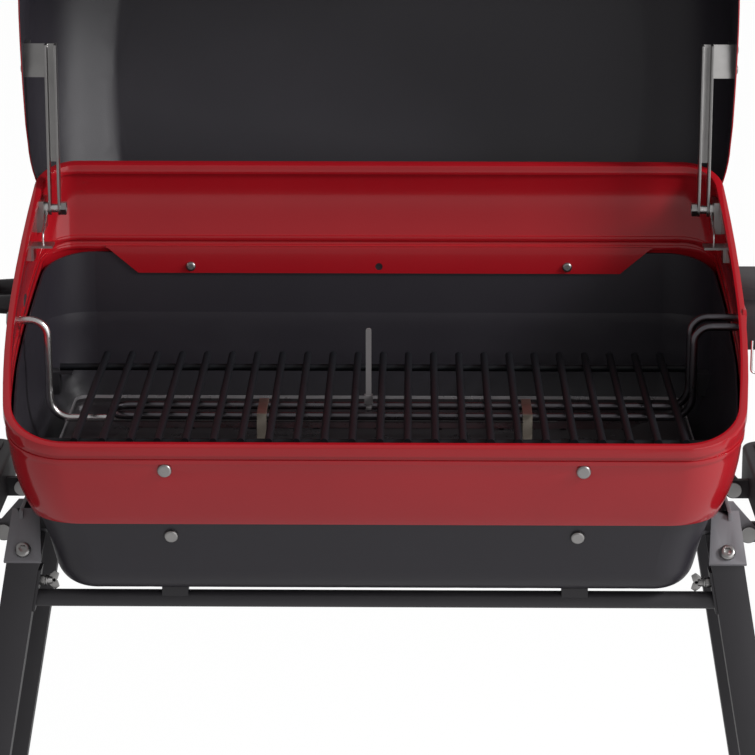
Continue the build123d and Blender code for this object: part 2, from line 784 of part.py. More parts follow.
# Folding side shelves and their pivot rivets
for name, side in SIDES:
    centre = (side * (shelf_inner + shelf_outer) / 2, (shelf_front + shelf_rear) / 2)
    wide = shelf_outer - shelf_inner
    deep = shelf_rear - shelf_front
    with BuildPart() as shelf:
        with BuildSketch(Plane.XY.offset(shelf_bottom)):
            with Locations(centre):
                RectangleRounded(wide, deep, shelf_corner)
        extrude(amount=shelf_top - shelf_bottom)
        fillet(shelf.faces().sort_by(Axis.Z)[-1].edges(), shelf_wall)
        with BuildSketch(Plane.XY.offset(shelf_bottom)):
            with Locations(centre):
                RectangleRounded(wide - 2 * shelf_wall, deep - 2 * shelf_wall, shelf_corner - shelf_wall)
        extrude(amount=shelf_top - shelf_bottom - shelf_wall, mode=Mode.SUBTRACT)
        for lug_y in (lug_front, lug_rear - lug_sheet):
            near, far = spread(pivot_x, shelf_inner + shelf_wall / 2, side)
            add(block((near, lug_y, pivot_z - lug_radius), (far, lug_y + lug_sheet, pivot_z + lug_radius)))
            with Locations(Location((side * pivot_x, lug_y + lug_sheet / 2, pivot_z), (90, 0, 0))):
                Cylinder(lug_radius, lug_sheet)
                Cylinder(pivot_radius, 2 * lug_sheet, mode=Mode.SUBTRACT)
    keep(shelf.part, f"shelf_{name}")
    rivets = []
    for facing, lug_y in ((-1, lug_front), (1, lug_rear)):
        arm_face = Plane((side * pivot_x, lug_y + facing * (arm_gap + arm_sheet), pivot_z),
                         z_dir=(0, facing, 0))
        through = arm_sheet + 2 * arm_gap + lug_sheet
        with BuildPart() as rivet:
            with Locations(arm_face.location):
                Cylinder(rivet_head, rivet_height, align=BASE)
            with Locations(arm_face.offset(-through).location):
                Cylinder(pivot_radius - fit, through + 1, align=BASE)
            with Locations(arm_face.offset(-through - rivet_height).location):
                Cylinder(rivet_head, rivet_height, align=BASE)
        rivets.append(rivet.part)
    keep(gathered(rivets), f"pivot_rivets_{name}")

# Terminal boss and control box on the right wall
with BuildPart() as terminal_plate:
    add(block((body_half, plate_front, plate_low), (plate_reach, plate_rear, plate_high)))
    fillet(terminal_plate.edges().filter_by(Axis.X), plate_round)
    for tube_y in (element_front, element_rear):
        with Locations(Location((plate_reach, tube_y, wall_entry), (0, 90, 0))):
            Cylinder(tube_radius + fit, 60, mode=Mode.SUBTRACT)
    add(shell_outer, mode=Mode.SUBTRACT)
    add(tub_shell.part, mode=Mode.SUBTRACT)
keep(terminal_plate.part, "terminal_plate")
with BuildPart() as housing:
    add(block((box_inner, box_front, box_low), (box_outer, box_rear, box_high)))
    add(block((box_inner, nose_front, nose_low), (nose_outer, box_front + box_round, nose_high)))
    fillet(housing.faces().sort_by(Axis.X)[-1].edges(), box_round)
    add(block((box_inner, nose_front + box_wall, nose_low + box_wall),
              (nose_outer - box_wall, box_front + box_round, nose_high - box_wall)), mode=Mode.SUBTRACT)
    add(block((box_inner, box_front + box_wall, box_low + box_wall),
              (box_outer - box_wall, box_rear - box_wall, box_high - box_wall)), mode=Mode.SUBTRACT)
    with Locations(Location((box_outer, knob_y, knob_z), (0, 90, 0))):
        Cylinder(spindle_radius + fit, 4 * box_wall, mode=Mode.SUBTRACT)
    add(block((inlet_x - inlet_width / 2, box_rear - 2 * box_wall, knob_z - inlet_height / 2),
              (inlet_x + inlet_width / 2, box_rear + 1, knob_z + inlet_height / 2)), mode=Mode.SUBTRACT)
keep(housing.part, "control_housing")
with BuildPart() as knob:
    with Locations(Location((box_outer + knob_gap, knob_y, knob_z), (0, 90, 0))):
        Cylinder(knob_radius, knob_height, align=BASE)
    fillet(knob.faces().sort_by(Axis.X)[-1].edges(), 2.5)
    with Locations((box_outer + knob_gap + knob_height, knob_y, knob_z + knob_radius / 2)):
        Box(1.6, 2.4, knob_radius * 0.7, mode=Mode.SUBTRACT)
    with Locations(Location((box_outer - spindle_length, knob_y, knob_z), (0, 90, 0))):
        Cylinder(spindle_radius, spindle_length + 2, align=BASE)
keep(knob.part, "control_knob")
with BuildPart() as inlet:
    add(block((inlet_x - inlet_width / 2 + fit, box_rear - inlet_depth, knob_z - inlet_height / 2 + fit),
              (inlet_x + inlet_width / 2 - fit, box_rear + box_wall, knob_z + inlet_height / 2 - fit)))
    well_wide = inlet_width / 2 - box_wall
    well_high = inlet_height / 2 - box_wall
    add(block((inlet_x - well_wide, box_rear - inlet_depth + box_wall, knob_z - well_high),
              (inlet_x + well_wide, box_rear + 2 * box_wall, knob_z + well_high)), mode=Mode.SUBTRACT)
    for blade in (-1, 0, 1):
        blade_x = inlet_x + blade * inlet_width / 4
        with Locations((blade_x, box_rear - inlet_depth / 2, knob_z - 2 * blade ** 2)):
            Box(1.6, inlet_depth - box_wall, 6)
keep(inlet.part, "power_inlet")

# Side handle on the left wall
post_rows = (handle_front + handle_inset, handle_rear - handle_inset)
with BuildPart() as side_grip:
    with Locations(Location((handle_x, (handle_front + handle_rear) / 2, handle_z), (90, 0, 0))):
        Cylinder(grip_radius, handle_rear - handle_front)
    fillet(side_grip.edges().filter_by(GeomType.CIRCLE), 4)
    for post_y in post_rows:
        with Locations(Location((handle_x, post_y, handle_z), (0, 90, 0))):
            Cylinder(post_radius + fit, 2 * grip_radius, align=BASE, mode=Mode.SUBTRACT)
keep(side_grip.part, "side_handle_grip")
with BuildPart() as side_posts:
    for post_y in post_rows:
        with Locations(Location((handle_x + fit, post_y, handle_z), (0, 90, 0))):
            Cylinder(post_radius, -handle_x - body_half + side_bow, align=BASE)
    add(shell_outer, mode=Mode.SUBTRACT)
    add(tub_shell.part, mode=Mode.SUBTRACT)
keep(side_posts.part, "side_handle_posts")

# Hinge hardware inside the side walls
hinge_axis = Axis((0, hinge_y, hinge_z), (1, 0, 0))
pins = []
nuts = []
stays = []
for name, side in SIDES:
    across = Plane((0, hinge_y, hinge_z), x_dir=(0, 1, 0), z_dir=(side, 0, 0))
    with BuildPart() as hinge_bracket:
        near, far = spread(bracket_inner, body_half + side_bow, side)
        add(block((near, bracket_front, bracket_low), (far, bracket_rear, bracket_high)))
        add(shell_inner, mode=Mode.INTERSECT)
        add(tub_shell.part, mode=Mode.SUBTRACT)
        with Locations(across.offset(bracket_inner).location):
            Cylinder(pin_radius, 2 * pin_set, mode=Mode.SUBTRACT)
    keep(hinge_bracket.part, f"hinge_bracket_{name}")
    with BuildPart() as pin:
        with Locations(across.offset(pin_inner).location):
            Cylinder(pin_radius - fit, bracket_inner + pin_set - fit - pin_inner, align=BASE)
        with Locations(across.offset(cheek_outer + knob_gap).location):
            Cylinder(collar_radius, bracket_inner - cheek_outer - knob_gap, align=BASE)
    pins.append(pin.part)
    with BuildPart() as nut:
        with BuildSketch(across.offset(cheek_inner - nut_height - knob_gap)):
            RegularPolygon(nut_flats / 2, 6)
            Circle(pin_radius, mode=Mode.SUBTRACT)
        extrude(amount=nut_height)
    nuts.append(nut.part)
    with BuildPart() as stop_bracket:
        near, far = spread(stop_inner, body_half + side_bow, side)
        add(block((near, stop_y - stop_flange / 2, stop_high - stop_sheet),
                  (far, stop_y + stop_flange / 2, stop_high)))
        near, far = spread(stop_wall, body_half + side_bow, side)
        add(block((near, stop_y - stop_flange / 2, stop_low), (far, stop_y + stop_flange / 2, stop_high)))
        add(shell_inner, mode=Mode.INTERSECT)
    keep(stop_bracket.part, f"stop_bracket_{name}")
    stays.append(bent_rod([(side * stay_x, stop_y, stop_high), (side * stay_x, stop_y, stop_high + stay_rise),
                           (side * stay_x, hinge_y - collar_radius, hinge_z - stay_lower)],
                          [stay_bend], stay_radius))
keep(gathered(pins), "hinge_pins")
keep(gathered(nuts), "hinge_nuts")

# Hood, drawn closed and then swung open about the hinge
def hood_form(inset, top):
    """Form of the closed hood, offset from the bowl's outside."""
    sections = []
    for count in range(hood_steps + 1):
        share = count / hood_steps
        tuck = hood_tuck * share ** tuck_power
        ease = corner_share * tuck
        height = hood_blend + share * (top - hood_blend)
        sections.append(outline(height, inset + tuck, front_corner - inset - ease,
                                rear_corner - inset - ease))
    with BuildPart() as form:
        loft(sections=sections)
        extrude(sections[0], amount=hood_low - hood_blend)
        fillet(form.faces().sort_by(Axis.Z)[-1].edges(), hood_edge_round)
    return form.part


hood_outer = hood_form(-hood_gap - sheet, hood_top)
hood_inner = hood_form(-hood_gap, hood_top - sheet)
lap_plane = rim_plane.offset(-hood_lap)
kink_z = rim_rise * (hood_kink - front_wall) / (rear_wall - front_wall) - hood_lap
rear_slope = atan2(hood_rear_edge - kink_z, rear_wall - hood_kink)
rear_plane = Plane((0, hood_kink, kink_z), x_dir=(1, 0, 0), z_dir=(0, -sin(rear_slope), cos(rear_slope)))
with BuildPart() as hood:
    add(hood_outer)
    add(hood_inner, mode=Mode.SUBTRACT)
    split(bisect_by=lap_plane, keep=Keep.TOP)
    split(bisect_by=rear_plane, keep=Keep.TOP)
open_hood = hood.part.rotate(hinge_axis, -hood_open)
open_inner = hood_inner.rotate(hinge_axis, -hood_open)

# Arms that carry the hood on the pins
arm_screws = []
for name, side in SIDES:
    top_z = hinge_z + arm_length
    with BuildPart() as arm:
        for cheek in (cheek_outer - cheek_sheet, cheek_inner):
            near, far = spread(cheek, cheek + cheek_sheet, side)
            add(block((near, hinge_y - arm_width / 2, hinge_z), (far, hinge_y + arm_width / 2, top_z)))
            with Locations(Location((side * (cheek + cheek_sheet / 2), hinge_y, hinge_z), (0, 90, 0))):
                Cylinder(arm_width / 2, cheek_sheet)
        near, far = spread(cheek_inner, cheek_outer, side)
        add(block((near, hinge_y + arm_web_y, hinge_z + arm_web_start),
                  (far, hinge_y + arm_width / 2, top_z)))
        near, far = spread(cheek_inner, body_half + 3 * side_bow, side)
        add(block((near, hinge_y + arm_web_y, hinge_z + arm_foot_start),
                  (far, hinge_y + arm_width / 2, top_z)))
        near, far = spread(flange_x, body_half + 3 * side_bow, side)
        add(block((near, hinge_y + arm_web_y, hinge_z + arm_foot_start),
                  (far, hinge_y + arm_web_y + arm_foot_depth, top_z)))
        add(open_inner, mode=Mode.INTERSECT)
        with Locations(Location((side * cheek_inner, hinge_y, hinge_z), (0, 90, 0))):
            Cylinder(pin_radius, 60, mode=Mode.SUBTRACT)
        for rise in arm_screw_rises:
            with Locations(Location((side * flange_x, hinge_y + arm_screw_y, hinge_z + rise), (0, 90, 0))):
                Cylinder(screw_shank, 60, mode=Mode.SUBTRACT)
    keep(arm.part, f"hood_arm_{name}")
    for rise in arm_screw_rises:
        place = Plane((side * hood_side, hinge_y + arm_screw_y, hinge_z + rise), x_dir=(0, 1, 0),
                      z_dir=(side, 0, 0))
        arm_screws.append(place)

# Handle across the front of the hood
handle_posts = []
hood_front = front_wall - hood_gap - sheet
grip_y = hood_front - hood_handle_reach
with BuildPart() as hood_grip:
    with Locations(Location((0, grip_y, hood_handle_z), (0, 90, 0))):
        Cylinder(hood_grip_radius, 2 * hood_handle_half)
    fillet(hood_grip.edges().filter_by(GeomType.CIRCLE), 5)
    for _, side in SIDES:
        with Locations(Location((side * hood_post_x, grip_y, hood_handle_z), (-90, 0, 0))):
            Cylinder(hood_post_radius + fit, 2 * hood_grip_radius, align=BASE, mode=Mode.SUBTRACT)
for _, side in SIDES:
    with BuildPart() as hood_post:
        with Locations(Location((side * hood_post_x, grip_y + fit, hood_handle_z), (-90, 0, 0))):
            Cylinder(hood_post_radius, hood_handle_reach - fit, align=BASE)
        with Locations(Location((side * hood_post_x, hood_front - post_flange, hood_handle_z), (-90, 0, 0))):
            Cylinder(2 * hood_post_radius, post_flange, align=BASE)
        add(hood.part, mode=Mode.SUBTRACT)
    handle_posts.append(hood_post.part)
keep(hood_grip.part.rotate(hinge_axis, -hood_open), "hood_handle_grip")
keep(gathered(handle_posts).rotate(hinge_axis, -hood_open), "hood_handle_posts")
with BuildPart() as finished_hood:
    add(open_hood)
    for place in arm_screws:
        drill(place, screw_shank, screw_reach)
keep(finished_hood.part, "hood")
keep(gathered(screw(place, pan_head, pan_height, screw_reach / 2, [finished_hood.part], True)
              for place in arm_screws), "arm_screws")
with BuildPart() as stay_wires:
    for stay in stays:
        add(stay)
    for pin in pins:
        add(pin, mode=Mode.SUBTRACT)
keep(stay_wires.part, "stay_wires")

# Set every piece on the floor with the common box centred, then write it
boxes = [piece.bounding_box() for piece in PIECES.values()]
tub_front = -(min(box.min.Y for box in boxes) + max(box.max.Y for box in boxes)) / 2
for name, piece in PIECES.items():
    placed = piece.moved(Location((0, tub_front, rim_height)))
    placed.label = name
    export_step(placed, f"parts/{name}.step")
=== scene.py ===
"""Looks of the electric barbecue grill: finishes, edge work, detailed pieces, light and camera.

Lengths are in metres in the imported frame: +X right, +Y back, +Z up.
"""

import json
import logging
from dataclasses import dataclass, field
from enum import Enum
from math import cos, pi, radians, sin
from typing import Any, Callable, Optional, Sequence, Union

import bpy
from mathutils import Matrix, Vector


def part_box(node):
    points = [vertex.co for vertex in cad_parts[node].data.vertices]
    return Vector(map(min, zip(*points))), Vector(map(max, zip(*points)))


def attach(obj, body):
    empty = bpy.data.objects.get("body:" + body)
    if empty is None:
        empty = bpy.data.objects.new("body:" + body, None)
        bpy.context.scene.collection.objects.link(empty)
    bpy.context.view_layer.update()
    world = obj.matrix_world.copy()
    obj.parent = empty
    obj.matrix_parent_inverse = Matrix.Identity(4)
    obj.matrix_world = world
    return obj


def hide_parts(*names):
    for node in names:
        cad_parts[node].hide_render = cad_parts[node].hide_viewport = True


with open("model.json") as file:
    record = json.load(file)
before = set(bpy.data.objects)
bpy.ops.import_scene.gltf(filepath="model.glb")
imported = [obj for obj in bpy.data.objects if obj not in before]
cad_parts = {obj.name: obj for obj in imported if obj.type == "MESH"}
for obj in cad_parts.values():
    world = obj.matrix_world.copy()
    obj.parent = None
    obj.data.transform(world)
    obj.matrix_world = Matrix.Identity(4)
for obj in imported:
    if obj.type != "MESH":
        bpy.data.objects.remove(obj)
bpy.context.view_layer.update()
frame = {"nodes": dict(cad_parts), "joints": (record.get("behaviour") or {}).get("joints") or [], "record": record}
LOG = logging.getLogger("grill")
Color = tuple[float, float, float]
Spot = tuple[float, float, float]
Rings = list[tuple[float, float]]

MM = 0.001
WHITE = (1.0, 1.0, 1.0, 1.0)
ORIGIN = (0.0, 0.0, 0.0)
UNTURNED = (0.0, 0.0, 0.0)
ONTO_X = (0.0, pi / 2, 0.0)
ONTO_Y = (pi / 2, 0.0, 0.0)

# Numbers of the sockets that share their name with another socket or have none of their own
OBJECT_COORDINATES = 3
CAMERA_RAY = 0
GLOSSY_RAY = 3
MIX_FACTOR = 0
MIX_FIRST = 6
MIX_SECOND = 7
MIX_RESULT = 2


class Body(Enum):
    """Moving bodies that the pieces ride on."""

    GRILL = "grill"
    HOOD = "hood"
    KNOB = "knob"
    SHELF_LEFT = "shelf_left"
    SHELF_RIGHT = "shelf_right"


class Field:
    """A shader value that Python operators act on."""

    def __init__(self, graph: "Graph", socket: Any) -> None:
        """Wrap a socket of a graph."""
        self.graph = graph
        self.socket = socket

    def _math(self, operation: str, first: Any, second: Any) -> "Field":
        """Add one Math node."""
        return self.graph.node("ShaderNodeMath", {"operation": operation}, {0: first, 1: second})[0]

    def __add__(self, other: Any) -> "Field":
        """Sum."""
        return self._math("ADD", self, other)

    def __radd__(self, other: Any) -> "Field":
        """Sum with the number first."""
        return self._math("ADD", other, self)

    def __sub__(self, other: Any) -> "Field":
        """Difference."""
        return self._math("SUBTRACT", self, other)

    def __rsub__(self, other: Any) -> "Field":
        """Difference with the number first."""
        return self._math("SUBTRACT", other, self)

    def __mul__(self, other: Any) -> "Field":
        """Product."""
        return self._math("MULTIPLY", self, other)

    def __rmul__(self, other: Any) -> "Field":
        """Product with the number first."""
        return self._math("MULTIPLY", other, self)

    def __gt__(self, other: Any) -> "Field":
        """One where greater, else zero."""
        return self._math("GREATER_THAN", self, other)


@dataclass(frozen=True)
class Mottle:
    """Noise pattern with its scale per metre."""

    scale: float
    detail: float = 3.0
    rough: float = 0.55


@dataclass(frozen=True)
class Relief:
    """Strength and depth in metres of a bump."""

    strength: float
    depth: float


class Graph:
    """Node tree of one material or of the world, filled node by node."""

    def __init__(self, owner: Union[bpy.types.Material, bpy.types.World]) -> None:
        """Empty the node tree of a material or a world."""
        owner.use_nodes = True
        self.owner = owner
        self.tree = owner.node_tree
        self.tree.nodes.clear()

    @classmethod
    def of_material(cls, name: str) -> "Graph":
        """Start a new material."""
        return cls(bpy.data.materials.new(name))

    def node(self, kind: str, settings: Optional[dict[str, Any]] = None,
             inputs: Optional[dict[Any, Any]] = None) -> list[Field]:
        """Add a node.

        Args:
            kind: Blender's node type.
            settings: Node properties, set before the inputs.
            inputs: Value or Field for each input socket, by name or number.

        Returns:
            The node's outputs, in order.
        """
        made = self.tree.nodes.new(kind)
        for key, value in (settings or {}).items():
            setattr(made, key, value)
        for key, value in (inputs or {}).items():
            socket = made.inputs[key]
            if isinstance(value, Field):
                self.tree.links.new(value.socket, socket)
            else:
                socket.default_value = value
        return [Field(self, socket) for socket in made.outputs]

    def place(self) -> Field:
        """Object coordinates of the surface."""
        return self.node("ShaderNodeTexCoord")[OBJECT_COORDINATES]

    def height(self) -> Field:
        """Height of the surface over the floor."""
        return self.node("ShaderNodeSeparateXYZ", {}, {0: self.place()})[2]

    def noise(self, mottle: Mottle) -> Field:
        """Soft noise from 0 to 1."""
        return self.node("ShaderNodeTexNoise", {}, {
            "Vector": self.place(),
            "Scale": mottle.scale,
            "Detail": mottle.detail,
            "Roughness": mottle.rough,
        })[0]

    def mix(self, factor: Any, first: Any, second: Any) -> Field:
        """Blend two colours.

        Args:
            factor: Share of the second colour.
            first: Colour or Field.
            second: Colour or Field.

        Returns:
            The blended colour.
        """
        def solid(value: Any) -> Any:
            """Colour with its alpha, or a Field as it is."""
            return value if isinstance(value, Field) else (*value, 1.0)

        return self.node("ShaderNodeMix", {"data_type": "RGBA"}, {
            MIX_FACTOR: factor,
            MIX_FIRST: solid(first),
            MIX_SECOND: solid(second),
        })[MIX_RESULT]

    def bump(self, height: Field, relief: Relief) -> Field:
        """Normal from a height field."""
        return self.node("ShaderNodeBump", {}, {
            "Height": height,
            "Strength": relief.strength,
            "Distance": relief.depth,
        })[0]

    def close(self, shader: Field, output: str = "ShaderNodeOutputMaterial") -> Any:
        """Lead a shader to the tree's output.

        Args:
            shader: Shader to show.
            output: Blender's type of the output node.

        Returns:
            The finished material or world.
        """
        self.node(output, {}, {"Surface": shader})
        return self.owner

    def surface(self, inputs: dict[str, Any]) -> bpy.types.Material:
        """Finish the material with a principled shader.

        Args:
            inputs: Values or fields for the shader's sockets, by name.

        Returns:
            The finished material.
        """
        return self.close(self.node("ShaderNodeBsdfPrincipled", {}, inputs)[0])


@dataclass(frozen=True)
class Enamel:
    """Glossy fired enamel with a faint orange peel."""

    name: str
    color: Color
    deep: Color
    roughness: float
    coat: float
    coat_roughness: float = 0.03
    dust_haze: float = 0.08
    drift: Mottle = Mottle(9.0, 4.0)
    dust: Mottle = Mottle(160.0, 5.0, 0.7)
    peel: Mottle = Mottle(420.0, 2.0)
    relief: Relief = Relief(0.2, 0.06 * MM)

    def build(self) -> bpy.types.Material:
        """Make the material."""
        graph = Graph.of_material(self.name)
        return graph.surface({
            "Base Color": graph.mix(graph.noise(self.drift), self.deep, self.color),
            "Roughness": self.roughness + self.dust_haze * graph.noise(self.dust),
            "Coat Weight": self.coat,
            "Coat Roughness": self.coat_roughness,
            "Normal": graph.bump(graph.noise(self.peel), self.relief),
        })


@dataclass(frozen=True)
class Satin:
    """Satin coating with a fine pebbled grain and rubbed high spots."""

    name: str
    color: Color
    rubbed: Color
    roughness: float
    specular: float = 0.5
    spread: float = 0.18
    worn_above: float = 0.42
    worn_share: float = 0.5
    cloud: Mottle = Mottle(14.0, 4.0)
    grain: Mottle = Mottle(900.0, 3.0, 0.6)
    relief: Relief = Relief(0.5, 0.12 * MM)

    def build(self) -> bpy.types.Material:
        """Make the material."""
        graph = Graph.of_material(self.name)
        cloud = graph.noise(self.cloud)
        grain = graph.noise(self.grain)
        worn = (cloud * grain) > self.worn_above
        rubbing = self.worn_share * worn + (1.0 - self.worn_share) * cloud
        return graph.surface({
            "Base Color": graph.mix(rubbing, self.color, self.rubbed),
            "Roughness": self.roughness + self.spread * (cloud - 0.5),
            "Specular IOR Level": self.specular,
            "Normal": graph.bump(grain, self.relief),
        })


@dataclass(frozen=True)
class Glazed:
    """Dark glazed pan with a painted highlight: its rolled rim is painted pale and part metallic."""

    name: str
    color: Color
    cloudy: Color
    painted_highlight: Color
    rim_height: float = 738.4 * MM
    rim_waver: float = 0.6 * MM
    rim_metal: float = 0.6
    roughness: float = 0.28
    spread: float = 0.12
    cloud: Mottle = Mottle(22.0, 5.0, 0.65)
    ripple: Mottle = Mottle(260.0, 2.0)
    relief: Relief = Relief(0.4, 0.10 * MM)

    def build(self) -> bpy.types.Material:
        """Make the material."""
        graph = Graph.of_material(self.name)
        cloud = graph.noise(self.cloud)
        # Painted highlight: above rim_height the rolled rim takes a pale, part-metallic colour that stands in for
        # a highlight line
        rim = (graph.height() + self.rim_waver * (cloud - 0.5)) > self.rim_height
        glaze = graph.mix(cloud, self.color, self.cloudy)
        return graph.surface({
            "Base Color": graph.mix(rim, glaze, self.painted_highlight),
            "Metallic": self.rim_metal * rim,
            "Roughness": self.roughness + self.spread * (cloud - 0.5),
            "Normal": graph.bump(graph.noise(self.ripple), self.relief),
        })


@dataclass(frozen=True)
class Metal:
    """Bare or plated metal with fine scratches and a dulled bloom."""

    name: str
    color: Color
    dull: Color
    roughness: float
    spread: float = 0.15
    bloom_middle: float = 0.3
    bloom: Mottle = Mottle(30.0, 5.0, 0.65)
    scratch: Mottle = Mottle(700.0, 4.0, 0.7)
    relief: Relief = Relief(0.4, 0.03 * MM)

    def build(self) -> bpy.types.Material:
        """Make the material."""
        graph = Graph.of_material(self.name)
        bloom = graph.noise(self.bloom)
        return graph.surface({
            "Base Color": graph.mix(bloom, self.color, self.dull),
            "Metallic": 1.0,
            "Roughness": self.roughness + self.spread * (bloom - self.bloom_middle),
            "Normal": graph.bump(graph.noise(self.scratch), self.relief),
        })


@dataclass(frozen=True)
class Moulded:
    """Moulded plastic or rubber with a spark-eroded grain."""

    name: str
    color: Color
    scuffed: Color
    roughness: float
    spread: float = 0.15
    scuff: Mottle = Mottle(45.0, 6.0, 0.7)
    grain: Mottle = Mottle(1500.0, 2.0)
    relief: Relief = Relief(0.6, 0.08 * MM)

    def build(self) -> bpy.types.Material:
        """Make the material."""
        graph = Graph.of_material(self.name)
        scuff = graph.noise(self.scuff)
        return graph.surface({
            "Base Color": graph.mix(scuff, self.color, self.scuffed),
            "Roughness": self.roughness + self.spread * (scuff - 0.5),
            "Normal": graph.bump(graph.noise(self.grain), self.relief),
        })


Finish = Union[Enamel, Satin, Glazed, Metal, Moulded]

FINISHES: dict[str, Finish] = {finish.name: finish for finish in (
    Enamel("red_enamel", (0.49, 0.010, 0.018), (0.40, 0.007, 0.014), roughness=0.10, coat=0.3),
    Satin("black_enamel", (0.023, 0.0205, 0.027), (0.038, 0.034, 0.044), roughness=0.38),
    Satin("grate_steel", (0.006, 0.0068, 0.0095), (0.013, 0.014, 0.018), roughness=0.50, specular=0.3),
    # Paler copy of the black paint: painted light for the side frames' plates, which sit in the shell's shade
    Satin("frame_paint_painted_light", (0.185, 0.180, 0.195), (0.265, 0.258, 0.278), roughness=0.48),
    Satin("black_paint", (0.026, 0.024, 0.028), (0.052, 0.049, 0.055), roughness=0.45),
    Glazed("bright_steel", (0.022, 0.019, 0.022), (0.048, 0.042, 0.046), (0.55, 0.53, 0.55)),
    Metal("zinc", (0.50, 0.49, 0.48), (0.32, 0.31, 0.31), roughness=0.30),
    Metal("chrome", (0.88, 0.86, 0.86), (0.78, 0.76, 0.76), roughness=0.24, spread=0.08),
    Metal("element_sheath", (0.21, 0.20, 0.22), (0.11, 0.10, 0.11), roughness=0.26),
    Metal("brass", (0.62, 0.57, 0.50), (0.34, 0.28, 0.22), roughness=0.50),
    Moulded("nylon", (0.30, 0.28, 0.29), (0.22, 0.21, 0.21), roughness=0.4),
    Moulded("black_plastic", (0.026, 0.024, 0.027), (0.045, 0.042, 0.046), roughness=0.42),
    Moulded("shelf_plastic", (0.024, 0.022, 0.026), (0.042, 0.040, 0.044), roughness=0.5),
    Moulded("rubber", (0.020, 0.020, 0.020), (0.040, 0.040, 0.040), roughness=0.75),
)}

# Width of the rounding on each CAD node whose edges catch the light
EDGES = {
    "tub_shell": 0.5 * MM,
    "reflector_pan": 0.4 * MM,
    "element_clips": 0.3 * MM,
    "terminal_plate": 0.6 * MM,
    "control_housing": 0.8 * MM,
    "power_inlet": 0.4 * MM,
    "hood_arm_left": 0.4 * MM,
    "hood_arm_right": 0.4 * MM,
    "side_frame_left": 0.6 * MM,
    "side_frame_right": 0.6 * MM,
    "leg_front_left": 1.4 * MM,
    "leg_front_right": 1.4 * MM,
    "leg_rear_left": 1.4 * MM,
    "leg_rear_right": 1.4 * MM,
    "leg_bolts": 0.6 * MM,
    "crossbar_bolts": 0.5 * MM,
    "rubber_feet": 1.2 * MM,
}

# CAD nodes whose coat is paler than their slot's usual finish: painted light that lifts the side frames' plates
# out of the shell's shade
PAINTED_LIGHT_COATS = {"side_frame_left": "frame_paint_painted_light", "side_frame_right": "frame_paint_painted_light"}


@dataclass(frozen=True)
class Lamp:
    """Square area lamp."""

    name: str
    spot: Spot
    size: float
    power: float

    def build(self, target: Vector) -> None:
        """Hang the lamp and face it to a target."""
        light = bpy.data.lights.new(self.name, "AREA")
        light.size = self.size
        light.energy = self.power
        holder = bpy.data.objects.new(self.name, light)
        holder.location = self.spot
        holder.rotation_euler = (target - Vector(self.spot)).to_track_quat("-Z", "Y").to_euler()
        bpy.context.scene.collection.objects.link(holder)


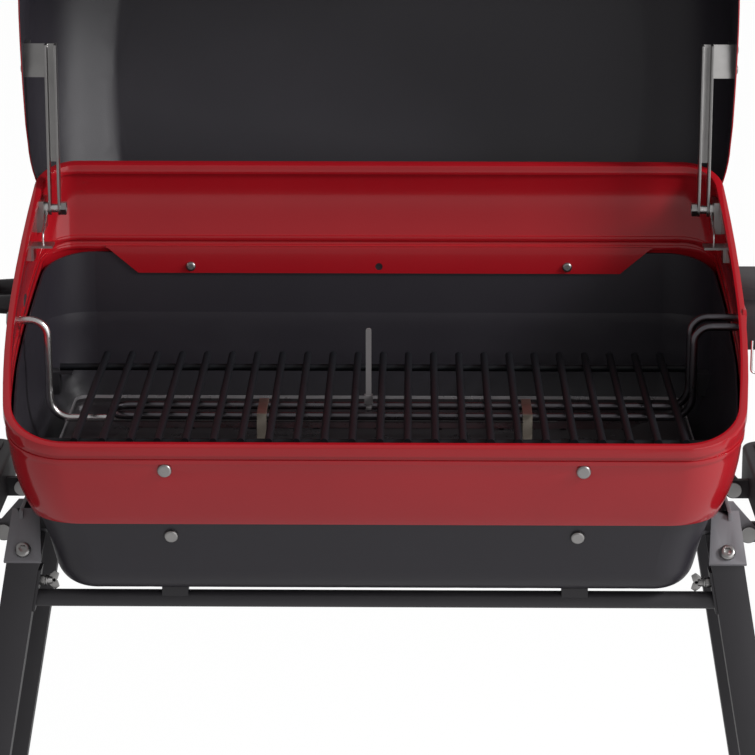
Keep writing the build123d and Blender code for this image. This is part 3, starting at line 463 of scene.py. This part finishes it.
@dataclass
class Studio:
    """Camera at the photo's angle, soft lamps and a pale floor."""

    down: float = 15.2
    turn: float = 0.7
    focal_px: float = 3040.0
    frame_px: float = 755.0
    sensor: float = 36.0
    reach: float = 2.355
    sight: float = 200.0
    rim_px: tuple[float, float] = (374.0, 444.0)
    rim_height: float = 0.780
    hinge_from_rim: float = 0.300
    lamps: tuple[Lamp, ...] = (
        Lamp("key", (2.3, -0.75, 2.4), size=0.6, power=52.0),
        Lamp("fill", (1.9, -1.9, 1.4), size=2.5, power=18.0),
    )
    aim_behind_rim: float = 0.15
    sky: float = 0.33
    floor_size: float = 60.0
    floor_color: Color = (0.74, 0.74, 0.74)
    floor_glow: float = 1.05
    floor_seen_white: float = 0.92
    mirrored_floor: float = 0.10

    def rim_point(self) -> Vector:
        """Middle of the bowl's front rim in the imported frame."""
        hinge = next(joint for joint in frame["joints"] if joint["name"] == "hood_hinge")
        return Vector((0.0, hinge["pos_m"][1] - self.hinge_from_rim, self.rim_height))

    def camera(self) -> None:
        """Place the camera so that the front rim lands where the photo has it."""
        turn, down = radians(self.turn), radians(self.down)
        ahead = Vector((-sin(turn) * cos(down), cos(turn) * cos(down), -sin(down)))
        right = Vector((cos(turn), sin(turn), 0.0))
        up = right.cross(ahead)
        middle = self.frame_px / 2
        across = (self.rim_px[0] - middle) / self.focal_px * self.reach
        above = (self.rim_px[1] - middle) / self.focal_px * self.reach
        spot = self.rim_point() - ahead * self.reach - right * across + up * above
        lens = bpy.data.cameras.new("photo_camera")
        lens.sensor_width = self.sensor
        lens.lens = self.focal_px / self.frame_px * self.sensor
        lens.clip_end = self.sight
        holder = bpy.data.objects.new("photo_camera", lens)
        turned = Matrix((right, up, -ahead)).transposed()
        holder.matrix_world = Matrix.Translation(spot) @ turned.to_4x4()
        bpy.context.scene.collection.objects.link(holder)
        bpy.context.scene.camera = holder

    def floor(self) -> None:
        """Lay the pale floor, white to the camera but still taking a shadow."""
        bpy.ops.mesh.primitive_plane_add(size=self.floor_size)
        ground = bpy.context.active_object
        ground.name = "floor"
        graph = Graph.of_material("floor")
        path = graph.node("ShaderNodeLightPath")
        mirrored = self.mirrored_floor * path[GLOSSY_RAY]
        seen = graph.node("ShaderNodeMath", {"operation": "MAXIMUM"}, {0: path[CAMERA_RAY], 1: mirrored})[0]
        matte = graph.node("ShaderNodeBsdfDiffuse", {}, {"Color": (*self.floor_color, 1.0)})[0]
        glow = graph.node("ShaderNodeEmission", {}, {"Color": WHITE, "Strength": self.floor_glow})[0]
        both = graph.node("ShaderNodeMixShader", {}, {0: seen * self.floor_seen_white, 1: matte, 2: glow})[0]
        ground.data.materials.append(graph.close(both))

    def world(self) -> None:
        """Set an even white surround, full white only to the camera."""
        graph = Graph(bpy.data.worlds.new("studio"))
        path = graph.node("ShaderNodeLightPath")
        level = graph.node("ShaderNodeMapRange", {}, {
            "Value": path[CAMERA_RAY],
            "To Min": self.sky,
            "To Max": 1.0,
        })[0]
        surround = graph.node("ShaderNodeBackground", {}, {"Color": WHITE, "Strength": level})[0]
        bpy.context.scene.world = graph.close(surround, "ShaderNodeOutputWorld")

    def build(self) -> None:
        """Set up camera, floor and light."""
        bpy.context.scene.view_settings.view_transform = "Standard"
        self.camera()
        self.floor()
        self.world()
        target = self.rim_point() + Vector((0.0, self.aim_behind_rim, 0.0))
        for lamp in self.lamps:
            lamp.build(target)


class Bench:
    """Modelling steps shared by the sub-assemblies."""

    merge: float = 0.001 * MM
    smooth_below: float = 35.0
    made: dict[str, bpy.types.Material] = {}

    @staticmethod
    def clear() -> None:
        """Leave edit mode and select nothing."""
        if bpy.context.mode != "OBJECT":
            bpy.ops.object.mode_set(mode="OBJECT")
        bpy.ops.object.select_all(action="DESELECT")

    @classmethod
    def focus(cls, piece: bpy.types.Object) -> None:
        """Select one piece alone and make it active."""
        cls.clear()
        piece.select_set(True)
        bpy.context.view_layer.objects.active = piece

    @classmethod
    def finish_of(cls, slot: str) -> bpy.types.Material:
        """Material of a slot, made once."""
        if slot not in cls.made:
            cls.made[slot] = FINISHES[slot].build()
        return cls.made[slot]

    @staticmethod
    def copied(piece: bpy.types.Object, name: str) -> bpy.types.Object:
        """Copy of a piece with its own mesh."""
        twin = bpy.data.objects.new(name, piece.data.copy())
        bpy.context.scene.collection.objects.link(twin)
        return twin

    @classmethod
    def block(cls, name: str, size: Sequence[float]) -> bpy.types.Object:
        """Plain block at the origin."""
        cls.clear()
        bpy.ops.mesh.primitive_cube_add(size=1.0)
        piece = bpy.context.active_object
        piece.name = name
        piece.scale = size
        bpy.ops.object.transform_apply(scale=True)
        return piece

    @classmethod
    def turned(cls, name: str, rings: Rings, vertices: int = 64) -> bpy.types.Object:
        """Turn a solid about the Z axis.

        Args:
            name: Name of the piece.
            rings: Height and radius of each ring, from the bottom up.
            vertices: Points round each ring.

        Returns:
            The closed solid at the origin.
        """
        cls.clear()
        height, radius = rings[0]
        bpy.ops.mesh.primitive_circle_add(vertices=vertices, radius=radius, fill_type="NGON",
                                          location=(0.0, 0.0, height))
        piece = bpy.context.active_object
        piece.name = name
        bpy.ops.object.transform_apply(location=True)
        bpy.ops.object.mode_set(mode="EDIT")
        for next_height, next_radius in rings[1:]:
            rise = (0.0, 0.0, next_height - height)
            ratio = next_radius / radius
            bpy.ops.mesh.extrude_region_move(TRANSFORM_OT_translate={"value": rise})
            bpy.ops.transform.resize(value=(ratio, ratio, 1.0), center_override=(0.0, 0.0, next_height))
            height, radius = next_height, next_radius
        bpy.ops.mesh.select_all(action="SELECT")
        bpy.ops.mesh.normals_make_consistent(inside=False)
        bpy.ops.object.mode_set(mode="OBJECT")
        return piece

    @classmethod
    def pick(cls, piece: bpy.types.Object, wanted: Callable[[bpy.types.MeshPolygon], bool]) -> None:
        """Open a piece for editing with only some faces selected.

        Args:
            piece: Piece to edit.
            wanted: Test that says which faces to select.
        """
        cls.focus(piece)
        mesh = piece.data
        for group in (mesh.vertices, mesh.edges, mesh.polygons):
            group.foreach_set("select", [False] * len(group))
        for face in mesh.polygons:
            face.select = wanted(face)
        bpy.ops.object.mode_set(mode="EDIT")
        bpy.ops.mesh.select_mode(type="FACE")

    @classmethod
    def settle(cls, piece: bpy.types.Object, spot: Sequence[float],
               turn: Sequence[float] = UNTURNED) -> None:
        """Turn a piece, move it to its place and write both into its mesh.

        Args:
            piece: Piece that sits at the origin.
            spot: Place for the piece's origin.
            turn: Angles about X, Y and Z in radians.
        """
        cls.focus(piece)
        piece.rotation_euler = turn
        piece.location = spot
        bpy.ops.object.transform_apply(location=True, rotation=True, scale=True)

    @classmethod
    def rounded(cls, piece: bpy.types.Object, width: float, segments: int = 2, angle: float = 30.0) -> None:
        """Round a piece's sharp edges and shade it smooth.

        Args:
            piece: Piece to round.
            width: Width of the rounding in metres.
            segments: Facets across the rounding.
            angle: Sharpness in degrees from which an edge is rounded.
        """
        cls.focus(piece)
        bevel = piece.modifiers.new("edge", "BEVEL")
        bevel.width = width
        bevel.segments = segments
        bevel.limit_method = "ANGLE"
        bevel.angle_limit = radians(angle)
        bpy.ops.object.modifier_apply(modifier="edge")
        bpy.ops.object.shade_smooth_by_angle(angle=radians(cls.smooth_below))

    @classmethod
    def edge_softened(cls, node: str, width: float, angle: float = 40.0) -> bpy.types.Object:
        """Stand-in for a CAD node with its sheet edges rounded over.

        Args:
            node: CAD node to copy.
            width: Width of the rounding in metres.
            angle: Sharpness in degrees from which an edge is rounded.

        Returns:
            The finished copy.
        """
        twin = cls.copied(frame["nodes"][node], f"{node}_edged")
        cls.focus(twin)
        bpy.ops.object.mode_set(mode="EDIT")
        bpy.ops.mesh.select_all(action="SELECT")
        bpy.ops.mesh.remove_doubles(threshold=cls.merge)
        cls.rounded(twin, width, angle=angle)
        return twin

    @staticmethod
    def coat(piece: bpy.types.Object, finish: bpy.types.Material) -> None:
        """Give a piece one finish all over."""
        piece.data.materials.clear()
        piece.data.materials.append(finish)

    @classmethod
    def hand_over(cls, piece: bpy.types.Object, slot: str, body: Body, *nodes: str) -> None:
        """Dress a new piece and let it ride on its body.

        Args:
            piece: Finished piece.
            slot: Material slot, which also names the finish.
            body: Body that carries the piece.
            nodes: CAD nodes that the piece replaces.
        """
        cls.coat(piece, cls.finish_of(slot))
        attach(piece, body.value)
        if nodes:
            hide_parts(*nodes)
        LOG.info("%s made", piece.name)


@dataclass
class Dress:
    """Finishes and edge work of the carried-over CAD nodes."""

    edged: dict[str, float] = field(default_factory=dict)
    painted_light_coats: dict[str, str] = field(default_factory=dict)

    def build(self) -> None:
        """Give every CAD node its slot's finish and round the named nodes' edges."""
        bodies = frame["record"]["behaviour"]["bodies"]
        body_of = {node: body for body, nodes in bodies.items() for node in nodes}
        for entry in frame["record"]["subparts"]:
            node, slot = entry["node"], entry["material_slot"]
            # The side frames get a paler coat here as painted light
            finish = Bench.finish_of(self.painted_light_coats.get(node, slot))
            Bench.coat(frame["nodes"][node], finish)
            if node in self.edged:
                twin = Bench.edge_softened(node, self.edged[node])
                Bench.coat(twin, finish)
                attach(twin, body_of[node])
                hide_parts(node)
            LOG.info("%s dressed in %s", node, slot)


@dataclass
class HoodShell:
    """Hood with its red outside and black inside."""

    edge: float = 0.5 * MM
    inside_point: Spot = (0.0, 0.10, 1.06)

    def build(self) -> None:
        """Copy the CAD hood, round its edge and give each side its enamel."""
        shell = Bench.edge_softened("hood", self.edge)
        Bench.hand_over(shell, "red_enamel", Body.HOOD, "hood")
        shell.data.materials.append(Bench.finish_of("black_enamel"))
        middle = Vector(self.inside_point)
        for face in shell.data.polygons:
            face.material_index = int(face.normal.dot(middle - face.center) > 0.0)


@dataclass
class ControlKnob:
    """Fluted thermostat knob with a pale pointer."""

    depth: float = 16.0 * MM
    stem: float = 3.0 * MM
    stem_length: float = 4.0 * MM
    skirt: float = 4.0 * MM
    skirt_slope: float = 1.0 * MM
    face_slope: float = 1.5 * MM
    waist_share: float = 0.86
    shoulder_share: float = 0.80
    face_share: float = 0.72
    edge: float = 0.25 * MM
    flutes: int = 24
    flute_depth: float = 1.0 * MM
    flute_rim: float = 0.4 * MM
    flute_above_skirt: float = 2.0 * MM
    upright: float = 0.3
    pointer_width: float = 1.6 * MM
    pointer_proud: float = 0.3 * MM
    pointer_share: float = 0.5
    pointer_out: float = 0.42
    pointer_edge: float = 0.2 * MM

    def rings(self, radius: float) -> Rings:
        """Rings of the knob, from the end of its stem to its face."""
        return [
            (-self.stem_length, self.stem), (0.0, self.stem), (0.0, radius), (self.skirt, radius),
            (self.skirt + self.skirt_slope, self.waist_share * radius),
            (self.depth - self.face_slope, self.shoulder_share * radius),
            (self.depth, self.face_share * radius),
        ]

    def is_flute(self, face: bpy.types.MeshPolygon) -> bool:
        """Whether a face of the turned knob becomes a flute."""
        on_side = abs(face.normal.z) < self.upright
        above_skirt = face.center.z > self.skirt + self.flute_above_skirt
        return on_side and above_skirt and face.index % 2 == 0

    def build(self) -> None:
        """Turn the knob, press its flutes in and set the pointer."""
        low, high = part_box("control_knob")
        radius = (high.y - low.y) / 2
        seat = Vector((high.x - self.depth, (low.y + high.y) / 2, (low.z + high.z) / 2))
        knob = Bench.turned("knob_body", self.rings(radius), self.flutes * 2)
        Bench.pick(knob, self.is_flute)
        bpy.ops.mesh.inset(thickness=self.flute_rim, depth=-self.flute_depth, use_individual=True)
        Bench.settle(knob, seat, ONTO_X)
        Bench.rounded(knob, self.edge)
        Bench.hand_over(knob, "black_plastic", Body.KNOB, "control_knob")
        size = (self.pointer_proud * 2, self.pointer_width, self.pointer_share * radius)
        pointer = Bench.block("knob_pointer", size)
        Bench.settle(pointer, (high.x - self.pointer_proud, seat.y, seat.z + self.pointer_out * radius))
        Bench.rounded(pointer, self.pointer_edge)
        Bench.hand_over(pointer, "nylon", Body.KNOB)


@dataclass
class Grips:
    """Ribbed handle grips of the bowl's left wall and of the hood, and the left grip's pillars."""

    ribs: int = 9
    groove: float = 0.9 * MM
    groove_floor: float = 0.4
    rib_start: float = 0.8
    dome: tuple[tuple[float, float], ...] = ((0.0, 0.55), (0.12, 0.80), (0.4, 1.0))
    edge: float = 0.3 * MM
    pillar_shape: tuple[tuple[float, float], ...] = ((0.0, 1.0), (0.12, 1.7), (0.6, 2.0))
    pillar_flare: float = 2.3
    pillar_lip: tuple[float, float] = (2.0 * MM, 0.6 * MM)
    pillar_points: int = 40
    pillar_edge: float = 0.4 * MM

    def rings(self, length: float, radius: float) -> Rings:
        """Rings of a grip: a domed end, a row of grooves and the other domed end.

        Args:
            length: Length of the grip.
            radius: Radius of the grip outside its grooves.

        Returns:
            Height and radius of each ring, with the grip's middle at zero.
        """
        half = length / 2
        pitch = (length - 2 * self.rib_start * radius) / self.ribs
        floor = self.groove_floor * self.groove
        rings = [(-half + inward * radius, share * radius) for inward, share in self.dome]
        for number in range(self.ribs + 1):
            spot = -half + self.rib_start * radius + number * pitch
            rings += [(spot - self.groove, radius), (spot - floor, radius - self.groove),
                      (spot + floor, radius - self.groove), (spot + self.groove, radius)]
        return rings + [(half - inward * radius, share * radius) for inward, share in reversed(self.dome)]

    def build(self) -> None:
        """Turn both grips, lay them along their posts and set the pillars."""
        for node, body in (("side_handle_grip", Body.GRILL), ("hood_handle_grip", Body.HOOD)):
            low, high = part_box(node)
            size = high - low
            along_x = size.x > size.y
            grip = Bench.turned(f"{node}_ribbed", self.rings(max(size.x, size.y), size.z / 2))
            Bench.settle(grip, (low + high) / 2, ONTO_X if along_x else ONTO_Y)
            Bench.rounded(grip, self.edge)
            Bench.hand_over(grip, "black_plastic", body, node)
        self.pillars()

    def pillars(self) -> None:
        """Turn a flared pillar that stands the side grip off the wall, and copy it."""
        low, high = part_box("side_handle_posts")
        post = (high.z - low.z) / 2
        reach = high.x - low.x
        rings = [(share * reach, width * post) for share, width in self.pillar_shape]
        rings += [(reach - inward, self.pillar_flare * post) for inward in self.pillar_lip]
        front = Bench.turned("handle_pillar_front", rings, self.pillar_points)
        Bench.settle(front, (low.x, low.y + post, low.z + post), ONTO_X)
        Bench.rounded(front, self.pillar_edge)
        rear = Bench.copied(front, "handle_pillar_rear")
        Bench.settle(rear, (0.0, high.y - low.y - 2 * post, 0.0))
        Bench.hand_over(front, "black_paint", Body.GRILL, "side_handle_posts")
        Bench.hand_over(rear, "black_paint", Body.GRILL)


@dataclass
class WingNuts:
    """Bright wing nuts on the inner ends of the crossbar bolts."""

    hub: float = 3.6 * MM
    hub_height: float = 5.5 * MM
    hub_points: int = 24
    hub_top_share: float = 0.85
    flange_share: float = 1.25
    flange: tuple[float, float] = (1.2 * MM, 1.6 * MM)
    wing_length: float = 8.5 * MM
    wing_height: float = 7.0 * MM
    wing_sheet: float = 1.6 * MM
    wing_tip: tuple[float, float, float] = (1.0, 0.7, 0.6)
    wing_root: float = 0.4
    slope: float = 35.0
    end_facing: float = 0.9
    edge: float = 0.5 * MM

    def ear(self) -> bpy.types.Object:
        """One ear of a nut, swept away from its hub towards +X."""
        half = self.wing_length / 2
        ear = Bench.block("wing_ear", (half, self.wing_sheet, self.wing_height))
        Bench.pick(ear, lambda face: face.normal.x > self.end_facing)
        bpy.ops.mesh.extrude_region_move(TRANSFORM_OT_translate={"value": (half, 0.0, 0.0)})
        bpy.ops.transform.resize(value=self.wing_tip, center_override=(self.wing_length, 0.0, 0.0))
        Bench.settle(ear, ORIGIN, (0.0, -radians(self.slope), 0.0))
        Bench.settle(ear, (self.wing_root * self.hub, 0.0, self.hub_height))
        return ear

    def nut(self) -> bpy.types.Object:
        """One whole nut that stands on the origin."""
        wide = self.flange_share * self.hub
        hub = Bench.turned("wing_nut", [
            (0.0, wide), (self.flange[0], wide), (self.flange[1], self.hub),
            (self.hub_height, self.hub_top_share * self.hub),
        ], self.hub_points)
        ear = self.ear()
        other = Bench.copied(ear, "wing_ear_other")
        Bench.settle(other, ORIGIN, (0.0, 0.0, pi))
        Bench.focus(hub)
        ear.select_set(True)
        other.select_set(True)
        bpy.ops.object.join()
        Bench.rounded(hub, self.edge)
        return hub

    def build(self) -> None:
        """Set a copy of the nut at each end of both crossbars."""
        low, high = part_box("crossbar_bolts")
        inner = min(abs(point.co.x) for point in frame["nodes"]["crossbar_bolts"].data.vertices)
        height = (low.z + high.z) / 2
        pattern = self.nut()
        for side, side_name in ((-1, "left"), (1, "right")):
            for row, row_name in ((low.y + self.hub, "front"), (high.y - self.hub, "rear")):
                nut = Bench.copied(pattern, f"wing_nut_{row_name}_{side_name}")
                Bench.settle(nut, (side * inner, row, height), (0.0, -side * pi / 2, 0.0))
                Bench.hand_over(nut, "zinc", Body.GRILL)
        bpy.data.objects.remove(pattern)


@dataclass
class WireCatch:
    """Bright wire loop that hangs at the front of the control box."""

    wire: float = 1.1 * MM
    bow: float = 3.4 * MM
    leg: float = 24.0 * MM
    hang: float = 13.0 * MM
    from_wall: float = 9.0 * MM
    bow_points: int = 40
    wire_points: int = 14
    edge: float = 0.2 * MM

    def build(self) -> None:
        """Halve a ring, draw its ends up into legs and hang it on the box."""
        low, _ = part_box("control_housing")
        Bench.clear()
        bpy.ops.mesh.primitive_torus_add(major_radius=self.bow, minor_radius=self.wire,
                                         major_segments=self.bow_points, minor_segments=self.wire_points)
        loop = bpy.context.active_object
        loop.name = "wire_catch"
        bpy.ops.object.mode_set(mode="EDIT")
        bpy.ops.mesh.select_all(action="SELECT")
        bpy.ops.mesh.bisect(plane_co=ORIGIN, plane_no=(0.0, 1.0, 0.0), clear_outer=True)
        bpy.ops.mesh.extrude_edges_move(TRANSFORM_OT_translate={"value": (0.0, self.leg, 0.0)})
        bpy.ops.mesh.select_all(action="SELECT")
        bpy.ops.mesh.fill_holes(sides=0)
        bpy.ops.mesh.select_all(action="SELECT")
        bpy.ops.mesh.normals_make_consistent(inside=False)
        spot = (low.x + self.from_wall, low.y - self.wire, low.z - self.hang + self.bow)
        Bench.settle(loop, spot, ONTO_Y)
        Bench.rounded(loop, self.edge)
        Bench.hand_over(loop, "chrome", Body.GRILL)


@dataclass
class ShelfSlats:
    """Raised slats across the top of each side shelf."""

    count: int = 8
    margin: float = 14.0 * MM
    end_margins: float = 3.2
    gap: float = 8.0 * MM
    proud: float = 1.6 * MM
    edge: float = 0.8 * MM
    edge_facets: int = 3

    def build(self) -> None:
        """Lay a row of slats on both shelves."""
        for node, body, inward in (("shelf_left", Body.SHELF_LEFT, 1), ("shelf_right", Body.SHELF_RIGHT, -1)):
            low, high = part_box(node)
            outer = low.x if inward > 0 else high.x
            length = high.x - low.x - self.end_margins * self.margin
            pitch = (high.y - low.y - 2 * self.margin + self.gap) / self.count
            width = pitch - self.gap
            slat = Bench.block(f"{node}_slats", (length, width, 2 * self.proud))
            Bench.settle(slat, (outer + inward * (self.margin + length / 2),
                                low.y + self.margin + width / 2, high.z))
            row = slat.modifiers.new("row", "ARRAY")
            row.count = self.count
            row.use_relative_offset = False
            row.use_constant_offset = True
            row.constant_offset_displace = (0.0, pitch, 0.0)
            bpy.ops.object.modifier_apply(modifier="row")
            Bench.rounded(slat, self.edge, self.edge_facets)
            Bench.hand_over(slat, "shelf_plastic", body)


def main() -> None:
    """Build the scene."""
    logging.basicConfig(level=logging.INFO)
    Bench.clear()
    Studio().build()
    Dress(EDGES, PAINTED_LIGHT_COATS).build()
    HoodShell().build()
    ControlKnob().build()
    Grips().build()
    WingNuts().build()
    WireCatch().build()
    ShelfSlats().build()


if __name__ == "__main__":
    main()
